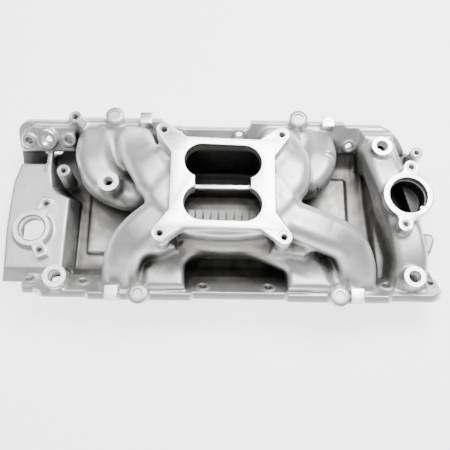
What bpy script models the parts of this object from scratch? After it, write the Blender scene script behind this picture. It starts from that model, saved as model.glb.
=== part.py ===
"""Dual-plane air-gap intake manifold for a 90-degree V8, in Blender.

Lengths below are in millimetres and become metres in finish(). +X is the engine's front, +Y its left
bank, +Z up. The origin is on the ground under the centre of the carburettor pad.
"""

import math

import bmesh
import bpy
from mathutils import Matrix, Vector

MM = 0.001
GAP = 0.3  # clearance between sections that meet face to face
WALL = 5.0  # cast wall thickness
SEGMENTS = 16  # sides of a turned boss and of a duct

HALF_LENGTH = 278.0
LEFT, RIGHT = 1, -1  # banks, as the sign of Y

# Head flanges: plates at 45 degrees, u along the engine, v up the slope, n inwards from the head.
SLOPE = math.sqrt(0.5)
FOOT_Y = 64.0  # half distance between the two mating planes at ground level
FLANGE_THICKNESS = 11.0
FLANGE_TOP_V, FLANGE_END_V, FLANGE_MID_V = 88.0, 84.0, 78.0
FLANGE_LONG_END, FLANGE_SHORT_END = 278.0, 250.0
FLANGE_CORNER_R = 18.0
PAIR_REACH, PAIR_STEP = 62.0, 4.0  # half width of the raised edge at a pair of ports, and its slope
BOLT_R = 4.8
BOLTS = {
    RIGHT: [(-242, 59), (-174, 62), (-23, 70), (59, 70), (209, 63), (266, 56)],
    LEFT: [(-260, 62), (-207, 63), (-59, 70), (22, 70), (173, 56)],
}

# Ports: two pairs a bank, two bore spacings apart; the identical heads face opposite ways.
BORE_SPACING = 122.95
BANK_SHIFT = 22.0
PORT_OFFSET = 26.0
PORT_V = 50.0
PORT_SIZE = (40.0, 52.0)
LEVEL_SHARE = 0.4  # share of a runner's length that keeps its starting section
DUCT_POWER, PORT_POWER = 2.8, 4.0  # superellipse exponents of the runner's start and of the port

# Carburettor pad: four-barrel bolt pattern, tilted so that its rear is the higher end.
PAD_BOLT_X, PAD_BOLT_Y = 71.45, 65.5
PAD_TOP, PAD_UNDERSIDE = 144.0, 132.0
PAD_TILT = math.radians(3.5)
PAD_SIDE_X, PAD_SIDE_Y = 62.0, 57.0
EAR_R = 9.5
LEG_FOOT, LEG_BORE = {LEFT: 104.0, RIGHT: 92.0}, 18.0  # foot heights and depth of the stud holes
BARREL_HALF_LENGTH, BARREL_R, BARREL_Y = 46.0, 21.5, 26.5
NOTCH_HALF_LENGTH, NOTCH_HALF_WIDTH, NOTCH_DEPTH = 33.0, 2.5, 8.0

# Plenum levels.
UPPER_FLOOR, LOWER_ROOF, LOWER_FLOOR = 94.0, 93.7, 52.0
UPPER_Z, LOWER_Z = 112.8, 72.0
UPPER_DUCT, CORNER_DUCT, LOWER_DUCT = (46.0, 35.0), (34.0, 34.0), (42.0, 36.0)

# Runners: bank, port place, start point, start direction, outer size at the start, points between.
WING_NEAR, WING_TIP, WING_FAR = (56.0, -54.0), (92.0, -14.0), (60.0, 22.0)
RUNNERS = {
    1: (LEFT, 1, (50, 24, LOWER_Z), (1, 0), LOWER_DUCT, [(90, 17, 71), (121, 33, 71), (130, 62, 63)]),
    3: (LEFT, 2, (76, 4, UPPER_Z), (0.747, 0.664), UPPER_DUCT, [(86, 32, 112), (77, 68, 90)]),
    5: (LEFT, 3, (-76, 4, UPPER_Z), (-0.747, 0.664), UPPER_DUCT, [(-94, 31, 112), (-110, 66, 90)]),
    7: (
        *(LEFT, 4, (-50, 24, LOWER_Z), (-1, 0), LOWER_DUCT),
        [(-86, 13, 70), (-124, 12, 70), (-156, 30, 71), (-170, 60, 64)],
    ),
    2: (
        *(RIGHT, 1, (74, -34, UPPER_Z), (0.743, -0.669), UPPER_DUCT),
        [(112, -46, 111), (149, -58, 94), (167, -76, 68)],
    ),
    4: (RIGHT, 2, (35, -51, LOWER_Z), (0.806, -0.591), CORNER_DUCT, [(72, -65, 72), (106, -76, 60)]),
    6: (RIGHT, 3, (-35, -51, LOWER_Z), (-0.806, -0.591), CORNER_DUCT, [(-60, -69, 67)]),
    8: (RIGHT, 4, (-74, -34, UPPER_Z), (-0.743, -0.669), UPPER_DUCT, [(-101, -54, 106), (-119, -74, 80)]),
}

# Coolant crossover and the pieces on it.
CROSSOVER_V = 48.0
CROSSOVER_ENDS = {LEFT: 208.0, RIGHT: 238.0}
CROSSOVER_SIZE = (38.0, 38.0)
CROSSOVER_MIDS = [(210, 60, 61), (226, 0, 64), (239, -62, 60)]
REAR_OUTLET = (-234.0, 66.0)  # tapped outlet on the left bank's rear coolant block, as (u, v)
REAR_BLOCK_BOLTS = BOLTS[LEFT][:2]
BLOCK_DEPTH, OUTLET_LENGTH = 14.0, 10.0
OUTLET_R, OUTLET_BORE = 13.0, 7.5
COOLANT_PORTS = {RIGHT: (-205.0, CROSSOVER_ENDS[RIGHT]), LEFT: (REAR_OUTLET[0], CROSSOVER_ENDS[LEFT])}
COOLANT_PORT_SIZE = 26.0
THERMOSTAT = Vector((232.5, 4.0, 102.0))
THERMOSTAT_AXIS = Vector((0.172, 0.985, 0.0))  # from one bolt ear to the other
THERMOSTAT_BOLT = 38.85
THERMOSTAT_R, THERMOSTAT_BORE, THERMOSTAT_PLATE = 30.5, 23.0, 11.0
NECK_R, NECK_FOOT = 27.5, 57.0

# Ends of the valley.
REAR_RAIL_TOP, FRONT_RAIL_TOP, RAIL_BOTTOM = 48.0, 34.0, 3.0
TRAY_BOTTOM, TRAY_TOP, TRAY_RISE = 15.0, 21.0, 7.0
REAR_RAIL_FRONT, FRONT_RAIL_REAR = -194.0, 206.0
DISTRIBUTOR = Vector((-244.0, -33.0, 60.0))
DISTRIBUTOR_R, DISTRIBUTOR_BORE = 24.0, 16.0
CLAMP_TABS = {"front": (-229.0, 1.0), "rear": (-231.0, -62.0)}
TAB_TOP = 59.5

# Vertical bosses: centre, height of the top, outer radius, hole radius, foot height.
PORT_BOSSES = {
    "coolant_port_boss_rear_right": ((-204.5, -99.5), 76, 15.0, 8.0, 34),
    "coolant_port_boss_front_left": ((207.5, 77), 90, 14.0, 7.5, 60),
    "coolant_port_boss_front_right": ((237, -96), 84, 14.0, 7.5, 48),
    "vacuum_port_boss": ((-141, 12.5), 110, 13.5, 6.0, 78),
}
POSTS = {
    "bracket_post_left": ((-194.5, 112), 90, 8.5, 5.0, 52),
    "bracket_post_rear": ((-204.5, 37.5), 84, 8.5, 5.0, REAR_RAIL_TOP + GAP),
    "bracket_post_front": ((260.5, 80), 66, 8.0, 5.0, FRONT_RAIL_TOP + GAP),
}
BOLT_BOSS_Y, BOLT_BOSS_TOP, BOLT_BOSS_R = 121.0, 80.0, 12.0
DISH_R, DISH_DEPTH = 6.5, 3.0
LUGS = {
    "left_rear": (LEFT, -103.0),
    "left_front": (LEFT, 141.0),
    "right_rear": (RIGHT, -134.0),
    "right_front": (RIGHT, 167.0),
}
LUG_SIZE, LUG_Y, LUG_TOP = 16.0, 118.5, 78.0
BOSS_FOOT = 56.0
PAIRS = {  # bank, end and runners of every pair of ports
    "left_front": (LEFT, 1, (1, 3)),
    "left_rear": (LEFT, -1, (5, 7)),
    "right_front": (RIGHT, 1, (2, 4)),
    "right_rear": (RIGHT, -1, (6, 8)),
}

INSERT_R, INSERT_BORE, INSERT_LENGTH = 4.7, 3.3, 10.0
STUD_INSERT_DEPTH, INSERT_DEPTH = 1.5, 0.8  # how far an insert stands below its face

COLOURS = {
    "cast_aluminium": ((0.62, 0.62, 0.60), 0.55),
    "machined_aluminium": ((0.80, 0.80, 0.79), 0.28),
    "steel_insert": ((0.55, 0.56, 0.58), 0.25),
}
nodes = []  # every finished node, in the order of making


# --- Shapes, in millimetres -------------------------------------------------------------------


def mesh_object(name, points, faces):
    """A closed mesh object whose faces point out."""
    mesh = bpy.data.meshes.new(name)
    mesh.from_pydata([tuple(p) for p in points], [], faces)
    work = bmesh.new()
    work.from_mesh(mesh)
    bmesh.ops.recalc_face_normals(work, faces=work.faces)
    work.to_mesh(mesh)
    work.free()
    made = bpy.data.objects.new(name, mesh)
    bpy.context.scene.collection.objects.link(made)
    return made


def stacked(name, rings):
    """A solid through rings of equal length, with flat ends."""
    count = len(rings[0])
    points = [p for ring in rings for p in ring]
    faces = [tuple(range(count)), tuple((len(rings) - 1) * count + i for i in range(count))]
    for r in range(len(rings) - 1):
        for i in range(count):
            j = (i + 1) % count
            faces.append((r * count + i, r * count + j, (r + 1) * count + j, (r + 1) * count + i))
    return mesh_object(name, points, faces)


def tube(name, outer, inner):
    """A hollow solid between outer and inner rings of equal number and length."""
    count, last = len(outer[0]), len(outer) - 1
    points = [p for ring in outer + inner for p in ring]
    inside = (last + 1) * count
    faces = []
    for i in range(count):
        j = (i + 1) % count
        for r in range(last):
            a, b = r * count, (r + 1) * count
            faces.append((a + i, a + j, b + j, b + i))
            faces.append((inside + a + j, inside + a + i, inside + b + i, inside + b + j))
        for a in (0, last * count):
            faces.append((a + i, a + j, inside + a + j, inside + a + i))
    return mesh_object(name, points, faces)


def prism(name, outline, low, high):
    """A plan outline of (x, y) points between two heights."""
    return stacked(name, [[Vector((x, y, z)) for x, y in outline] for z in (low, high)])


def box(name, low, high):
    (x0, y0, z0), (x1, y1, z1) = low, high
    return prism(name, [(x0, y0), (x1, y0), (x1, y1), (x0, y1)], z0, z1)


def arc(x, y, radius, start, end, steps):
    """Points on an arc, with the angles in degrees."""
    angles = [math.radians(start + (end - start) * i / steps) for i in range(steps + 1)]
    return [(x + radius * math.cos(a), y + radius * math.sin(a)) for a in angles]


def circle(x, y, radius, segments=SEGMENTS):
    return arc(x, y, radius, 0, 360, segments)[:-1]


def cylinder(name, x, y, radius, low, high, segments=SEGMENTS):
    return prism(name, circle(x, y, radius, segments), low, high)


def stadium(y, half_length, radius):
    """A long round-ended outline along X, centred on x = 0."""
    reach = half_length - radius
    return arc(reach, y, radius, -90, 90, 8) + arc(-reach, y, radius, 90, 270, 8)


def combine(target, other, operation):
    """Applies a Boolean and removes the other object."""
    modifier = target.modifiers.new(operation, "BOOLEAN")
    modifier.operation = operation
    modifier.solver = "EXACT"
    modifier.object = other
    graph = bpy.context.evaluated_depsgraph_get()
    mesh = bpy.data.meshes.new_from_object(target.evaluated_get(graph))
    target.modifiers.clear()
    target.data = mesh
    bpy.data.objects.remove(other)
    return target


def cut(target, *others):
    for other in others:
        combine(target, other, "DIFFERENCE")
    return target


def join(target, *others):
    for other in others:
        combine(target, other, "UNION")
    return target


def trim(target, point, normal):
    """Removes what lies on the normal's side of a plane and closes the cut."""
    work = bmesh.new()
    work.from_mesh(target.data)
    whole = work.verts[:] + work.edges[:] + work.faces[:]
    bmesh.ops.bisect_plane(work, geom=whole, plane_co=point, plane_no=normal, clear_outer=True, dist=1e-4)
    edges = [e for e in work.edges if e.is_boundary]
    bmesh.ops.holes_fill(work, edges=edges, sides=0)
    bmesh.ops.recalc_face_normals(work, faces=work.faces)
    work.to_mesh(target.data)
    work.free()
    return target


def finish(made, material):
    """Turns a shape into a node: metres, material and smooth round faces."""
    made.data.transform(Matrix.Scale(MM, 4))
    made.data.materials.clear()
    made.data.materials.append(bpy.data.materials[material])
    made.data.shade_smooth()
    made.data.set_sharp_from_angle(angle=math.radians(35))
    nodes.append(made)
    return made


def make_materials():
    for name, (colour, roughness) in COLOURS.items():
        material = bpy.data.materials.new(name)
        material.use_nodes = True
        shader = material.node_tree.nodes["Principled BSDF"]
        shader.inputs["Base Color"].default_value = (*colour, 1.0)
        shader.inputs["Metallic"].default_value = 1.0
        shader.inputs["Roughness"].default_value = roughness


# --- Head flanges -----------------------------------------------------------------------------


def on_flange(bank, u, v, n):
    return Vector((u, bank * (FOOT_Y + (v - n) * SLOPE), (v + n) * SLOPE))


def slab(name, bank, outline, low, high):
    """An outline of (u, v) points between two depths n of a flange."""
    return stacked(name, [[on_flange(bank, u, v, n) for u, v in outline] for n in (low, high)])


def port_u(bank, place):
    """Port places 1 to 4 run from the front of a bank to its rear."""
    pair = BORE_SPACING if place <= 2 else -BORE_SPACING
    offset = PORT_OFFSET if place in (1, 3) else -PORT_OFFSET
    return -bank * BANK_SHIFT + pair + offset


def pair_u(bank, end):
    """The middle of a bank's front (1) or rear (-1) pair of ports."""
    return -bank * BANK_SHIFT + end * BORE_SPACING


def superellipse(width, height, power, count=SEGMENTS):
    """Points of a rounded rectangle about its centre."""
    points = []
    for i in range(count):
        angle = 2 * math.pi * (i + 0.5) / count
        c, s = math.cos(angle), math.sin(angle)
        x = math.copysign(abs(c) ** (2 / power), c) * width / 2
        y = math.copysign(abs(s) ** (2 / power), s) * height / 2
        points.append((x, y))
    return points


def flange_outline(bank):
    """The identical heads make one flange the other turned half round."""
    top, end, middle = FLANGE_TOP_V, FLANGE_END_V, FLANGE_MID_V
    outline = [(-FLANGE_SHORT_END, -3.0), (FLANGE_LONG_END, -3.0)]
    outline += arc(FLANGE_LONG_END - FLANGE_CORNER_R, end - FLANGE_CORNER_R, FLANGE_CORNER_R, 0, 90, 5)
    front, rear = BANK_SHIFT + BORE_SPACING, BANK_SHIFT - BORE_SPACING
    for at, before, after in ((front, end, middle), (rear, middle, end)):
        outline += [(at + PAIR_REACH, before), (at + PAIR_REACH - PAIR_STEP, top)]
        outline += [(at - PAIR_REACH + PAIR_STEP, top), (at - PAIR_REACH, after)]
    if bank == RIGHT:
        outline += [(-224.0, end), (-236.0, 74.0), (4 - FLANGE_SHORT_END, 74.0), (-FLANGE_SHORT_END, 70.0)]
    else:
        outline += [(-216.0, end), (-237.0, 69.0), (-FLANGE_SHORT_END, 52.0)]
    return [(-bank * u, v) for u, v in outline]


def head_flange(bank):
    side = "left" if bank == LEFT else "right"
    made = slab(f"head_flange_{side}", bank, flange_outline(bank), 0, FLANGE_THICKNESS)
    trim(made, (0, 0, 0), (0, 0, -1))
    through = (-5.0, FLANGE_THICKNESS + 5.0)
    for place in (1, 2, 3, 4):
        u = port_u(bank, place)
        shape = [(u + x, PORT_V + y) for x, y in superellipse(*PORT_SIZE, PORT_POWER)]
        cut(made, slab("port", bank, shape, *through))
    for u in COOLANT_PORTS[bank]:
        shape = [(u + x, CROSSOVER_V + y) for x, y in superellipse(COOLANT_PORT_SIZE, COOLANT_PORT_SIZE, 3)]
        cut(made, slab("coolant", bank, shape, *through))
    for u, v in BOLTS[bank]:
        cut(made, slab("bolt", bank, circle(u, v, BOLT_R, 10), *through))
    finish(made, "cast_aluminium")


# --- Runners and other swept ducts ------------------------------------------------------------


def smooth_path(points, start, end, steps):
    """A curve through the points that leaves along start and arrives along end, as (place, tangent)."""
    tangents = [start * (points[1] - points[0]).length]
    for i in range(1, len(points) - 1):
        tangents.append((points[i + 1] - points[i - 1]) / 2)
    tangents.append(end * (points[-1] - points[-2]).length)
    path = []
    for i in range(len(points) - 1):
        a, b, m, n = points[i], points[i + 1], tangents[i], tangents[i + 1]
        for k in range(steps + (i == len(points) - 2)):
            t = k / steps
            place = a * (2 * t**3 - 3 * t**2 + 1) + m * (t**3 - 2 * t**2 + t)
            place = place + b * (3 * t**2 - 2 * t**3) + n * (t**3 - t**2)
            slope = (a - b) * (6 * t**2 - 6 * t) + m * (3 * t**2 - 4 * t + 1) + n * (3 * t**2 - 2 * t)
            path.append((place, slope.normalized()))
    return path


def swept_rings(path, ups, sizes, powers, grow):
    """Rings square to a path, blending the up direction, the size and the corner sharpness along it."""
    rings = []
    for i, (place, tangent) in enumerate(path):
        t = i / (len(path) - 1)
        t = max(0.0, (t - LEVEL_SHARE) / (1 - LEVEL_SHARE))
        up = ups[0].lerp(ups[1], t)
        across = tangent.cross(up).normalized()
        up = across.cross(tangent)
        width = sizes[0][0] + (sizes[1][0] - sizes[0][0]) * t + 2 * grow
        height = sizes[0][1] + (sizes[1][1] - sizes[0][1]) * t + 2 * grow
        power = powers[0] + (powers[1] - powers[0]) * t
        rings.append([place + across * x + up * y for x, y in superellipse(width, height, power)])
    return rings


def slid(rings, start, end, ahead, behind):
    """The rings with one more, slid outwards, at each end."""
    first = [p - start * behind for p in rings[0]]
    last = [p + end * ahead for p in rings[-1]]
    return [first, *rings, last]


def runner_frame(number):
    bank, place, start, heading, _, mids = RUNNERS[number]
    begin = Vector((*heading, 0)).normalized()
    outwards = Vector((0, bank * SLOPE, -SLOPE))
    foot = on_flange(bank, port_u(bank, place), PORT_V, FLANGE_THICKNESS + GAP)
    points = [Vector(start) + begin * GAP, *(Vector(p) for p in mids), foot]
    ups = (Vector((0, 0, 1)), Vector((0, bank * SLOPE, SLOPE)))
    return bank, begin, outwards, smooth_path(points, begin, outwards, 2), ups


def runner_rings(number, grow):
    """Grow is measured from the duct's own wall, so WALL gives the outside."""
    _, _, _, path, ups = runner_frame(number)
    width, height = RUNNERS[number][4]
    start = (width - 2 * WALL, height - 2 * WALL)
    return swept_rings(path, ups, (start, PORT_SIZE), (DUCT_POWER, PORT_POWER), grow)


def runner(number):
    made = tube(f"runner_{number}", runner_rings(number, WALL), runner_rings(number, 0))
    finish(made, "cast_aluminium")


def runner_body(number, extend=0.0):
    """The runner's filled outside with clearance, to cut a neighbour."""
    _, begin, outwards, _, _ = runner_frame(number)
    rings = runner_rings(number, WALL + GAP)
    return stacked("body", slid(rings, begin, outwards, extend, extend))


def runner_mouth(number):
    """The duct where it enters the plenum, to open the plenum's wall."""
    _, begin, _, _, _ = runner_frame(number)
    ring = runner_rings(number, 0)[0]
    return stacked("mouth", [[p - begin * 9 for p in ring], [p + begin * 2 for p in ring]])


def crossover_rings(grow):
    points = [on_flange(LEFT, CROSSOVER_ENDS[LEFT], CROSSOVER_V, FLANGE_THICKNESS + GAP)]
    points += [Vector(p) for p in CROSSOVER_MIDS]
    points += [on_flange(RIGHT, CROSSOVER_ENDS[RIGHT], CROSSOVER_V, FLANGE_THICKNESS + GAP)]
    start, end = Vector((0, -SLOPE, SLOPE)), Vector((0, -SLOPE, -SLOPE))
    width, height = CROSSOVER_SIZE
    size = (width - 2 * WALL, height - 2 * WALL)
    path = smooth_path(points, start, end, 2)
    rings = []
    for place, tangent in path:
        level = abs(tangent.z) < SLOPE - 0.01
        across = Vector((tangent.y, -tangent.x, 0)).normalized() if level else Vector((-1, 0, 0))
        up = across.cross(tangent)
        shape = superellipse(size[0] + 2 * grow, size[1] + 2 * grow, 2.6)
        rings.append([place + across * x + up * y for x, y in shape])
    return rings, start, end


def crossover_body():
    rings, start, end = crossover_rings(WALL + GAP)
    return stacked("body", slid(rings, start, end, 12, 12))


# --- Carburettor pad and plenum ---------------------------------------------------------------


def pad_outline():
    outline = []
    for sx, sy in ((1, 1), (-1, 1), (-1, -1), (1, -1)):
        corner = [(PAD_SIDE_X, 36.0), *arc(PAD_BOLT_X, PAD_BOLT_Y, EAR_R, -22, 112, 6), (44.0, PAD_SIDE_Y)]
        corner = [(sx * x, sy * y) for x, y in corner]
        outline += corner if sx * sy > 0 else corner[::-1]
    return outline


def pad_top(x, lift=0.0):
    """The height of the tilted pad face at x."""
    return PAD_TOP - x * math.tan(PAD_TILT) + lift


def carburettor_pad():
    outline = pad_outline()
    low = [Vector((x, y, PAD_UNDERSIDE)) for x, y in outline]
    made = stacked("carburettor_pad", [low, [Vector((x, y, pad_top(x))) for x, y in outline]])
    for side in (1, -1):
        cut(made, prism("barrel", stadium(side * BARREL_Y, BARREL_HALF_LENGTH, BARREL_R), 120, 160))
        y0, y1 = sorted((side * NOTCH_HALF_WIDTH, side * (BARREL_Y - 12)))
        cut(made, box("notch", (-NOTCH_HALF_LENGTH, y0, 120), (NOTCH_HALF_LENGTH, y1, 160)))
    reach, depth = NOTCH_HALF_LENGTH, NOTCH_DEPTH
    plan = [(-reach, -9.0), (reach, -9.0), (reach, 9.0), (-reach, 9.0)]
    low = [Vector((x, y, pad_top(x, -depth))) for x, y in plan]
    cut(made, stacked("relief", [low, [p + Vector((0, 0, 20)) for p in low]]))
    for x in (PAD_BOLT_X, -PAD_BOLT_X):
        for y in (PAD_BOLT_Y, -PAD_BOLT_Y):
            cut(made, cylinder("stud", x, y, INSERT_R + GAP, 120, 160, 14))
    finish(made, "machined_aluminium")


def stud_legs():
    """Round bosses under the pad's ears, which the studs screw into."""
    for name, (bank, end, runners) in PAIRS.items():
        x, y = end * PAD_BOLT_X, bank * PAD_BOLT_Y
        low = LEG_FOOT[bank]
        made = cylinder(f"stud_leg_{name}", x, y, EAR_R - 0.5, low, PAD_UNDERSIDE - GAP)
        cut(made, cylinder("bore", x, y, INSERT_R + GAP, PAD_UNDERSIDE - LEG_BORE, PAD_UNDERSIDE + 5, 14))
        for number in runners:
            if RUNNERS[number][2][2] == UPPER_Z or bank == RIGHT:
                cut(made, runner_body(number))
        finish(made, "cast_aluminium")


def mirrored(points):
    """Plan points and their reflections in x = 0, as one loop."""
    return points + [(-x, y) for x, y in reversed(points)]


def upper_plenum():
    """The chamber under the right barrels, with wings that feed runners 2, 3, 5 and 8."""
    shaft, step = 50.0 + GAP, 2.0 - GAP
    outer = mirrored([WING_NEAR, WING_TIP, WING_FAR, (shaft, WING_FAR[1]), (shaft, step)])
    inner = mirrored([(53.5, -49), (85, -14), (58, 17), (shaft + WALL, 17), (shaft + WALL, step - WALL)])
    made = prism("plenum_upper", outer, UPPER_FLOOR, PAD_UNDERSIDE - GAP)
    cut(made, prism("cavity", inner, UPPER_FLOOR + WALL, 127))
    cut(made, prism("throat", [(-47, -49), (47, -49), (47, -3.3), (-47, -3.3)], UPPER_FLOOR + WALL, 140))
    for number in (2, 3, 5, 8):
        cut(made, runner_mouth(number))
    ribs, pitch = 8, 9.3
    for i in range(ribs):
        x = (i - (ribs - 1) / 2) * pitch
        low = UPPER_FLOOR + WALL
        join(made, box("rib", (x - 1.3, -46, low - 1), (x + 1.3, -8, low + 5)))
    finish(made, "cast_aluminium")


def lower_plenum():
    """The deep chamber under the left barrels, running on below the upper one to runners 1, 4, 6 and 7."""
    made = prism("plenum_lower", mirrored([(46, 10), (46, -36), (24, -66)]), LOWER_FLOOR, LOWER_ROOF)
    join(made, box("shaft", (-50, 2, LOWER_FLOOR), (50, 54, PAD_UNDERSIDE - GAP)))
    inner = mirrored([(41, 12), (41, -34), (21.5, -61)])
    cut(made, prism("cavity", inner, LOWER_FLOOR + WALL, LOWER_ROOF - WALL))
    cut(made, box("well", (-45, 7, LOWER_FLOOR + WALL), (45, 49, 140)))
    for number in (1, 4, 6, 7):
        cut(made, runner_mouth(number))
    finish(made, "cast_aluminium")


# --- Valley: rails, tray and distributor pad --------------------------------------------------


def between_flanges(made, inset):
    """Trims a shape to the space between the two flanges' backs."""
    for bank in (LEFT, RIGHT):
        outwards = Vector((0, bank * SLOPE, -SLOPE))
        trim(made, on_flange(bank, 0, 0, FLANGE_THICKNESS + inset), outwards)
    return made


def rail(name, outer, inner, top):
    """An end rail: a shell open underneath, with sloping sides along the flanges."""
    made = between_flanges(prism(name, outer, RAIL_BOTTOM, top), GAP)
    hollow = between_flanges(prism("hollow", inner, RAIL_BOTTOM - 3, top - WALL - 1), WALL * 1.4)
    return cut(made, hollow)


def rear_rail():
    outer = [(-HALF_LENGTH, -84), (REAR_RAIL_FRONT, -84), (REAR_RAIL_FRONT, 16), (-226, 24)]
    outer += [(-232, 62), (-232, 82), (-256, 104), (-272, 64), (-HALF_LENGTH, 35)]
    inner = [(-271, -77), (-201, -77), (-201, 9), (-233, 18)]
    inner += [(-239, 60), (-239, 110), (-252, 110), (-265, 62), (-271, 34)]
    made = rail("end_rail_rear", outer, inner, REAR_RAIL_TOP)
    x, y, _ = DISTRIBUTOR
    join(made, cylinder("tower", x, y, DISTRIBUTOR_R - 2, 14, REAR_RAIL_TOP - 1))
    cut(made, cylinder("bore", x, y, DISTRIBUTOR_BORE, -5, 60))
    cut(made, coolant_block_body(GAP))
    finish(made, "cast_aluminium")


def front_rail():
    rear = FRONT_RAIL_REAR
    outer = [(rear, -100), (260, -100), (264, -90), (264, 60), (270, 72), (270, 92), (256, 104), (rear, 104)]
    inner = [(rear + 6, -110), (255, -110), (257, -90), (257, 58), (263, 74), (263, 86), (250, 110)]
    inner += [(rear + 6, 110)]
    made = rail("end_rail_front", outer, inner, FRONT_RAIL_TOP)
    join(made, box("lug", (258, -56, FRONT_RAIL_TOP - 4), (HALF_LENGTH, -28, FRONT_RAIL_TOP + 14)))
    cut(made, crossover_body())
    finish(made, "cast_aluminium")


def valley_tray():
    """The floor of the air gap, with a raised pan in its middle."""
    rear, front = REAR_RAIL_FRONT + GAP, FRONT_RAIL_REAR - GAP
    made = prism("valley_tray", [(rear, -90), (front, -90), (front, 90), (rear, 90)], TRAY_BOTTOM, TRAY_TOP)
    between_flanges(made, GAP)
    top = TRAY_TOP + TRAY_RISE
    join(made, box("pan", (-172, -56, TRAY_BOTTOM + 2), (168, 56, top)))
    cut(made, box("under", (-166, -50, TRAY_BOTTOM - 5), (162, 50, top - 6)))
    finish(made, "cast_aluminium")


def upright_ring(name, x, y, radii, low, high, segments=SEGMENTS):
    """A ring between an outer and an inner radius."""
    rings = []
    for radius in radii:
        plan = circle(x, y, radius, segments)
        rings.append([[Vector((a, b, z)) for a, b in plan] for z in (low, high)])
    return tube(name, *rings)


def distributor_ring():
    x, y, top = DISTRIBUTOR
    radii = (DISTRIBUTOR_R, DISTRIBUTOR_BORE)
    made = upright_ring("distributor_ring", x, y, radii, REAR_RAIL_TOP + GAP, top, 24)
    finish(made, "machined_aluminium")


def clamp_tab(name, x, y):
    """A pad beside the distributor ring with a tapped hole for the hold-down clamp."""
    centre = Vector((DISTRIBUTOR.x, DISTRIBUTOR.y))
    out = (Vector((x, y)) - centre).normalized()
    across = Vector((-out.y, out.x))
    hole = Vector((x, y))
    outline = ((-16, -8), (9, -8), (11, -6), (11, 6), (9, 8), (-16, 8))
    corners = [hole + out * a + across * b for a, b in outline]
    made = prism(f"clamp_tab_{name}", [tuple(c) for c in corners], REAR_RAIL_TOP + GAP, TAB_TOP)
    cut(made, cylinder("ring", *centre, DISTRIBUTOR_R + GAP, 30, 80, 28))
    cut(made, cylinder("hole", x, y, INSERT_R + GAP, 30, 80, 14))
    finish(made, "machined_aluminium")


# --- Coolant passages -------------------------------------------------------------------------


def coolant_block_body(grow):
    left, right, low = -271 - grow, -199 + grow, 44 - grow
    outline = [(left, low), (right, low), (right, 83), (-255, 83), (left, 68)]
    near = FLANGE_THICKNESS + GAP
    return slab("coolant_block", LEFT, outline, near - grow, near - GAP + BLOCK_DEPTH + grow)


def rear_coolant_block():
    """The closed end of the left head's coolant passage, with its bolt holes and tapped outlet."""
    made = coolant_block_body(0)
    made.name = "coolant_block_rear_left"
    cut(made, slab("outlet", LEFT, circle(*REAR_OUTLET, OUTLET_BORE), 0, 60))
    for u, v in REAR_BLOCK_BOLTS:
        cut(made, slab("bolt", LEFT, circle(u, v, BOLT_R, 12), 0, 60))
    cut(made, runner_body(7))
    finish(made, "cast_aluminium")
    low = FLANGE_THICKNESS + BLOCK_DEPTH + GAP
    rings = []
    for radius in (OUTLET_R, OUTLET_BORE):
        plan = circle(*REAR_OUTLET, radius)
        depths = (low, low - GAP + OUTLET_LENGTH)
        rings.append([[on_flange(LEFT, u, v, n) for u, v in plan] for n in depths])
    finish(tube("coolant_port_boss_rear_left", *rings), "machined_aluminium")


def crossover():
    outer, _, _ = crossover_rings(WALL)
    inner, _, _ = crossover_rings(0)
    made = tube("coolant_crossover", outer, inner)
    cut(made, cylinder("thermostat", THERMOSTAT.x - 6, THERMOSTAT.y, 13, 66, 110))
    for name in ("coolant_port_boss_front_left", "coolant_port_boss_front_right"):
        (x, y), _, _, bore, _ = PORT_BOSSES[name]
        cut(made, cylinder("outlet", x, y, bore, 62 if y > 0 else 45, 110, 14))
    finish(made, "cast_aluminium")


def thermostat_housing():
    x, y, top = THERMOSTAT
    low = top - THERMOSTAT_PLATE
    made = cylinder("thermostat_flange", x, y, THERMOSTAT_R, low, top, 32)
    for side in (1, -1):
        ear = Vector((x, y)) + THERMOSTAT_AXIS.to_2d() * side * THERMOSTAT_BOLT
        across = Vector((-THERMOSTAT_AXIS.y, THERMOSTAT_AXIS.x))
        join(made, cylinder("ear", *ear, 9.5, low, top, 16))
        inner = Vector((x, y)) + THERMOSTAT_AXIS.to_2d() * side * 18
        web = [inner + across * 19, inner - across * 19, ear - across * 9, ear + across * 9]
        join(made, prism("web", [tuple(p) for p in web], low, top))
        cut(made, cylinder("bolt", *ear, INSERT_R + GAP, low - 5, top + 5, 14))
    cut(made, cylinder("bore", x, y, THERMOSTAT_BORE, low - 5, top + 5, 28))
    finish(made, "machined_aluminium")
    neck = cylinder("thermostat_neck", x, y, NECK_R, NECK_FOOT, low - GAP, 28)
    cut(neck, cylinder("bore", x, y, THERMOSTAT_BORE - 1, 78, 110, 28))
    cut(neck, crossover_body())
    finish(neck, "cast_aluminium")


# --- Bosses, posts, lugs and thread inserts ----------------------------------------------------


def flange_keep_out(bank, name="keep_out"):
    """Everything below a flange's back face and past its top edge's outer side."""
    reach = HALF_LENGTH + 20
    back = [(-reach, -20), (reach, -20), (reach, FLANGE_TOP_V + GAP), (-reach, FLANGE_TOP_V + GAP)]
    return slab(name, bank, back, -60, FLANGE_THICKNESS + GAP)


def head_keep_out(bank):
    """The space of the cylinder head, under the mating plane."""
    reach = HALF_LENGTH + 20
    outline = [(-reach, -60), (reach, -60), (reach, 160), (-reach, 160)]
    return slab("head", bank, outline, -80, 0)


def turned_boss(name, spot, top, radius, bore, foot, cutters, depth=None):
    x, y = spot
    made = cylinder(name, x, y, radius, foot, top)
    low = foot - 5 if depth is None else top - depth
    cut(made, cylinder("bore", x, y, bore, low, top + 5, 16))
    cut(made, *cutters)
    return made


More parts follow.
